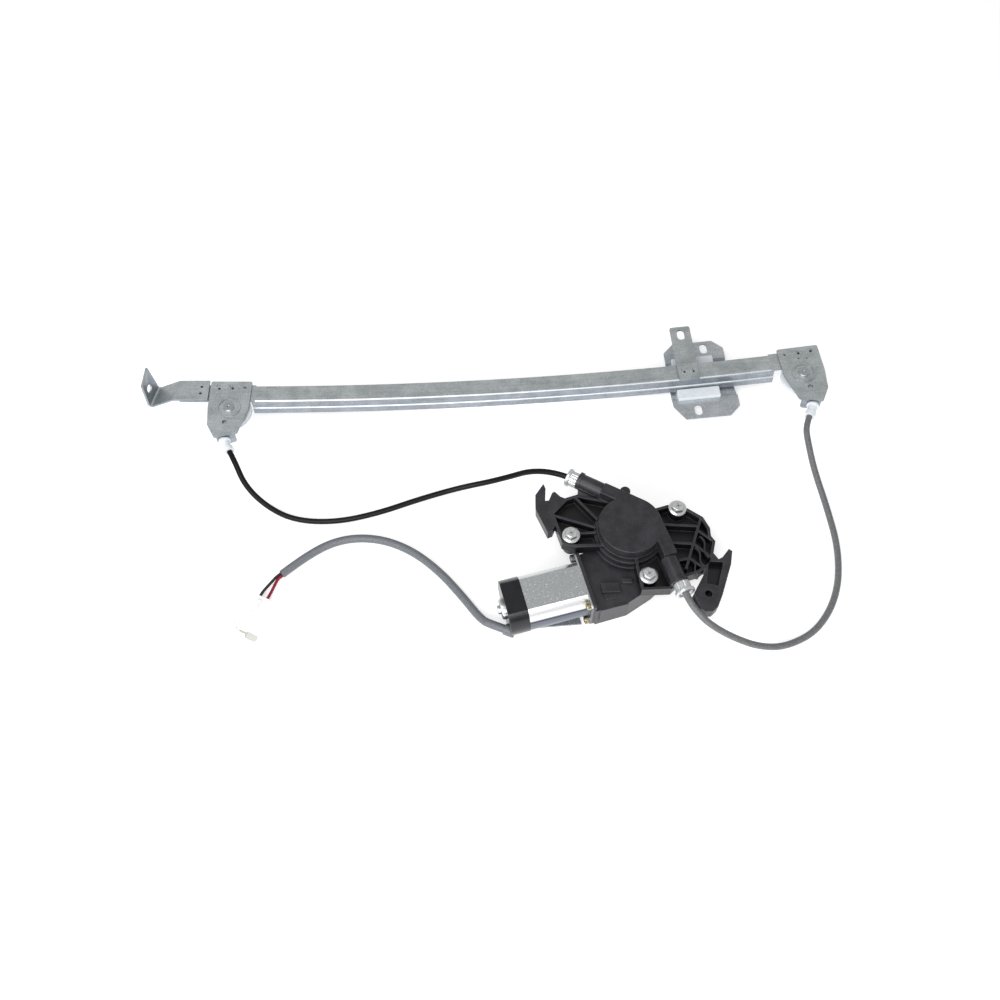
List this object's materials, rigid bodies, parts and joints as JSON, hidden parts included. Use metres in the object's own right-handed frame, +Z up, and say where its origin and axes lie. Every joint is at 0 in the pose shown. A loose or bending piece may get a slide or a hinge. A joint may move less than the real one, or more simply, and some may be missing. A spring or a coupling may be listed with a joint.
{
  "type": "window regulator",
  "caption": "Cable window regulator: bowed guide rail with end pulleys, glass carrier, cable drum in a ribbed housing, worm gearbox, flat-sided motor, two conduits and a lead.",
  "frame": {"origin": "on the surface the part lies on, below the middle of the part without its cords", "axes": "+X along the guide rail towards the end with the carrier, +Y from the motor towards the rail, +Z up, out of the door panel side of the rail"},
  "size_m": [0.6692, 0.3474, 0.0634],
  "materials": {
    "galvanised_sheet": "dull zinc-coated sheet",
    "carrier_sheet": "dull zinc-coated sheet",
    "rivet_steel": "turned zinc-coated",
    "white_plastic": "moulded, smooth",
    "black_plastic": "moulded, satin with fine texture",
    "cable_steel": "greased strand",
    "bright_screw": "bright zinc",
    "yellow_screw": "yellow-passivated zinc",
    "can_steel": "bright zinc",
    "band_plastic": "moulded, smooth",
    "gear_plastic": "moulded",
    "shaft_steel": "ground",
    "sintered_bronze": "sintered",
    "core_steel": "stacked laminations",
    "winding_copper": "enamelled wire",
    "ferrite": "pressed",
    "brush_board": "laminate",
    "carbon": "pressed",
    "conduit_black": "extruded sheath",
    "conduit_grey": "extruded sheath",
    "sleeve_grey": "extruded sheath",
    "wire_black": "extruded",
    "wire_red": "extruded",
    "wire_white": "extruded",
    "connector_clear": "translucent moulding",
    "tinned_contact": "tin-plated",
    "ferrule_light": "moulded, grooved",
    "grommet_black": "moulded"
  },
  "bodies": {
    "rail_assembly": {"black_conduit": "conduit_black", "black_wire": "wire_black", "blade_terminal": "tinned_contact", "brush_holder": "brush_board", "brushes": "carbon", "can_screws": "yellow_screw", "connector_housing": "connector_clear", "connector_terminals": "tinned_contact", "drum_cover": "black_plastic", "drum_housing": "black_plastic", "flange_screws": "bright_screw", "foot_bracket": "galvanised_sheet", "gearbox_cover": "black_plastic", "gearbox_housing": "black_plastic", "grey_conduit": "conduit_grey", "guide_rail": "galvanised_sheet", "housing_cable": "cable_steel", "jumper_wire": "wire_white", "lead_grommet": "grommet_black", "lead_sleeve": "sleeve_grey", "left_cable_bush": "white_plastic", "left_pulley_bracket": "galvanised_sheet", "left_pulley_pin": "rivet_steel", "lower_ferrule": "ferrule_light", "motor_can": "can_steel", "motor_end_band": "band_plastic", "motor_end_cap": "can_steel", "motor_magnets": "ferrite", "rail_cable": "cable_steel", "rail_mount_strip": "galvanised_sheet", "red_wire": "wire_red", "right_cable_bush": "white_plastic", "right_pulley_bracket": "galvanised_sheet", "right_pulley_pin": "rivet_steel", "upper_ferrule": "ferrule_light", "worm_bushes": "sintered_bronze"},
    "carrier": {"carrier_plate": "carrier_sheet", "carrier_slider": "white_plastic", "cable_nipples": "rivet_steel"},
    "left_pulley": {"left_pulley": "white_plastic"},
    "right_pulley": {"right_pulley": "white_plastic"},
    "drum": {"cable_drum": "gear_plastic", "drum_winding": "cable_steel", "drum_shaft": "shaft_steel", "worm_wheel": "gear_plastic"},
    "armature": {"worm_shaft": "shaft_steel", "armature_core": "core_steel", "armature_windings": "winding_copper", "commutator": "winding_copper"}
  },
  "joints": [
    {"name": "armature_turn", "type": "hinge", "parent": "rail_assembly", "child": "armature", "pos_m": [0.12428, -0.11287, 0.0195], "axis": [0.9799, 0.1994, 0], "range_deg": [-5211.3, 52113.11]},
    {"name": "drum_turn", "type": "hinge", "parent": "rail_assembly", "child": "drum", "pos_m": [0.118, -0.082, 0.03], "axis": [0, 0, 1], "range_deg": [-1042.26, 104.23]},
    {"name": "left_pulley_turn", "type": "hinge", "parent": "rail_assembly", "child": "left_pulley", "pos_m": [-0.2537, 0.0865, 0.03261], "axis": [0.102, 0, 0.9948], "range_deg": [-123.94, 1239.45]},
    {"name": "right_pulley_turn", "type": "hinge", "parent": "rail_assembly", "child": "right_pulley", "pos_m": [0.313, 0.0865, 0.03214], "axis": [-0.1004, 0, 0.995], "range_deg": [-123.94, 1239.45]},
    {"name": "carrier_travel", "type": "hinge", "parent": "rail_assembly", "child": "carrier", "pos_m": [0.032, 0.105, 2.818], "axis": [0, 1, 0], "range_deg": [-0.82, 8.17]}
  ],
  "couplings": [
    {"joint": "armature_turn", "follows": "carrier_travel", "ratio": 6375},
    {"joint": "drum_turn", "follows": "carrier_travel", "ratio": -127.5},
    {"joint": "left_pulley_turn", "follows": "carrier_travel", "ratio": 151.62},
    {"joint": "right_pulley_turn", "follows": "carrier_travel", "ratio": 151.62}
  ]
}
